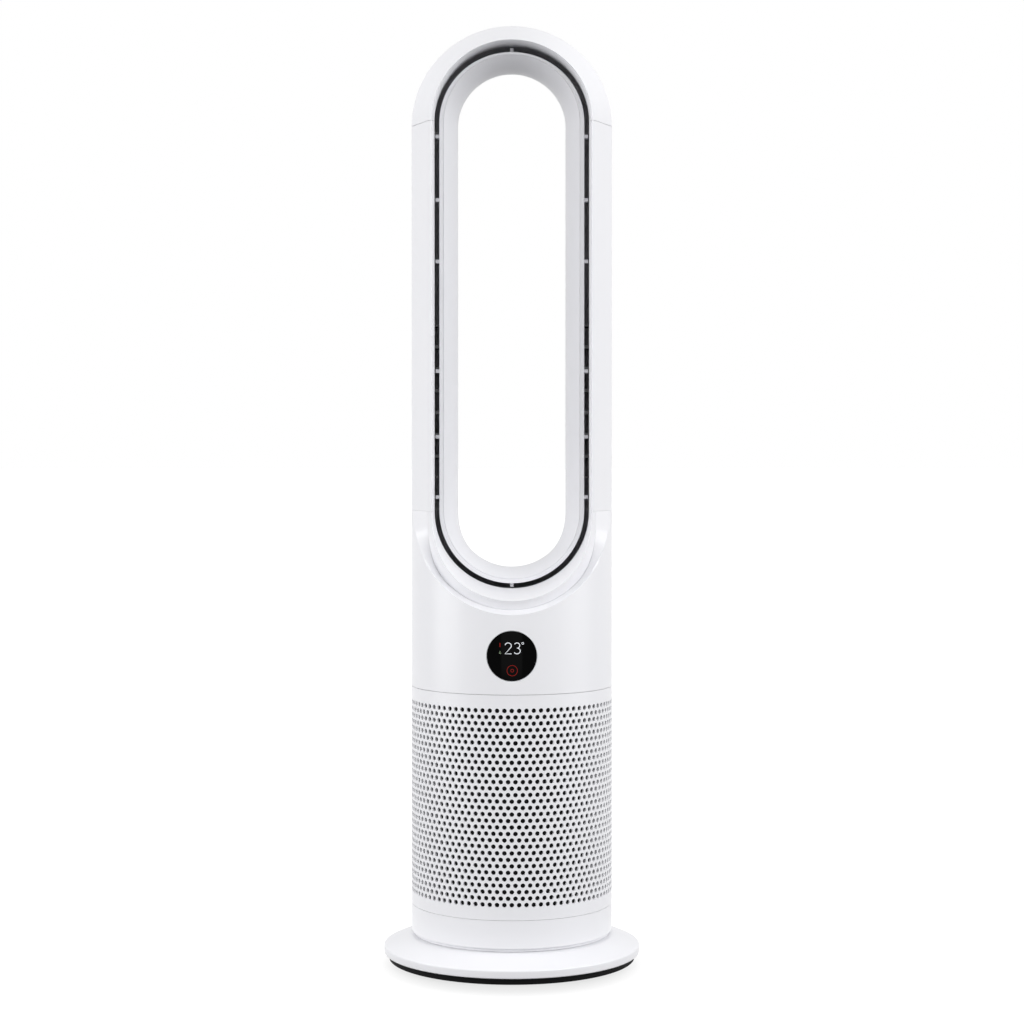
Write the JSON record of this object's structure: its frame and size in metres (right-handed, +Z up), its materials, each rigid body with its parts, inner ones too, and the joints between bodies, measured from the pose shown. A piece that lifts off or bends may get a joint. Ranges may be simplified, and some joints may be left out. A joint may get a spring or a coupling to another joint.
{
  "type": "bladeless fan",
  "caption": "Tower fan on a round base: a perforated intake column turns and feeds a tall stadium-shaped air loop with a narrow slot round its front.",
  "frame": {"origin": "centre of the foot ring's underside, on the column's turning axis", "axes": "+Z up along the turning axis, -Y towards the front where the air leaves, +X to the right seen from the front"},
  "size_m": [0.25, 0.25, 0.912],
  "materials": {
    "white_plastic": "satin white moulded plastic",
    "foot_rubber": "matte black rubber",
    "dark_plastic": "matte dark moulded plastic",
    "ballast_steel": "dark painted steel",
    "spindle_steel": "machined steel",
    "acetal": "natural low-friction plastic",
    "motor_steel": "drawn steel can",
    "circuit_board": "green circuit board",
    "filter_paper": "pleated white filter paper",
    "carbon_felt": "black carbon felt",
    "impeller_plastic": "fine matte grey plastic",
    "motor_aluminium": "cast aluminium",
    "sleeve_rubber": "soft rubber",
    "black_glass": "polished black, opaque",
    "bezel_metal": "polished bright edge",
    "heater_aluminium": "plain aluminium fins"
  },
  "bodies": {
    "base": {"foot_ring": "foot_rubber", "bottom_cover": "dark_plastic", "ballast_plate": "ballast_steel", "base_disc": "white_plastic", "pivot_spindle": "spindle_steel", "spindle_cap": "spindle_steel", "glide_ring": "acetal", "sector_gear": "acetal"},
    "column": {"column_bottom_ring": "white_plastic", "power_inlet": "dark_plastic", "stepper_motor": "motor_steel", "control_board": "circuit_board", "chassis_cage": "dark_plastic", "front_filter": "filter_paper", "rear_filter": "filter_paper", "front_carbon_felt": "carbon_felt", "rear_carbon_felt": "carbon_felt", "impeller_casing": "dark_plastic", "fan_motor": "motor_aluminium", "motor_sleeve": "sleeve_rubber", "diffuser": "dark_plastic", "pod_cap": "dark_plastic", "plenum_funnel": "dark_plastic", "upper_housing": "white_plastic", "display_lens": "black_glass", "display_bezel": "bezel_metal", "display_board": "circuit_board", "front_shell_top": "white_plastic", "front_shell_right": "white_plastic", "front_shell_left": "white_plastic", "lower_bezel": "white_plastic", "rear_shell_top": "white_plastic", "rear_shell_right": "white_plastic", "rear_shell_left": "white_plastic", "rear_lower_shell": "white_plastic", "throat_ring": "white_plastic", "slot_rim": "white_plastic", "heater_right": "heater_aluminium", "heater_left": "heater_aluminium"},
    "drive_pinion": {"drive_pinion": "acetal"},
    "impeller": {"impeller": "impeller_plastic", "impeller_shaft": "spindle_steel"},
    "front_grille": {"front_grille": "white_plastic"},
    "rear_grille": {"rear_grille": "white_plastic"}
  },
  "joints": [
    {"name": "column_swing", "type": "hinge", "parent": "base", "child": "column", "pos_m": [0, 0, 0.028], "axis": [0, 0, 1], "range_deg": [-45, 45]},
    {"name": "pinion_spin", "type": "hinge", "parent": "column", "child": "drive_pinion", "pos_m": [0.04875, 0, 0.02], "axis": [0, 0, 1], "range_deg": [-210, 210]},
    {"name": "impeller_spin", "type": "hinge", "parent": "column", "child": "impeller", "pos_m": [0, 0, 0.23], "axis": [0, 0, 1], "continuous": true},
    {"name": "front_grille_pull", "type": "slide", "parent": "column", "child": "front_grille", "axis": [0, -1, 0], "range_m": [0, 0.1]},
    {"name": "rear_grille_pull", "type": "slide", "parent": "column", "child": "rear_grille", "axis": [0, 1, 0], "range_m": [0, 0.1]}
  ],
  "couplings": [
    {"joint": "pinion_spin", "follows": "column_swing", "ratio": 4.5714}
  ]
}
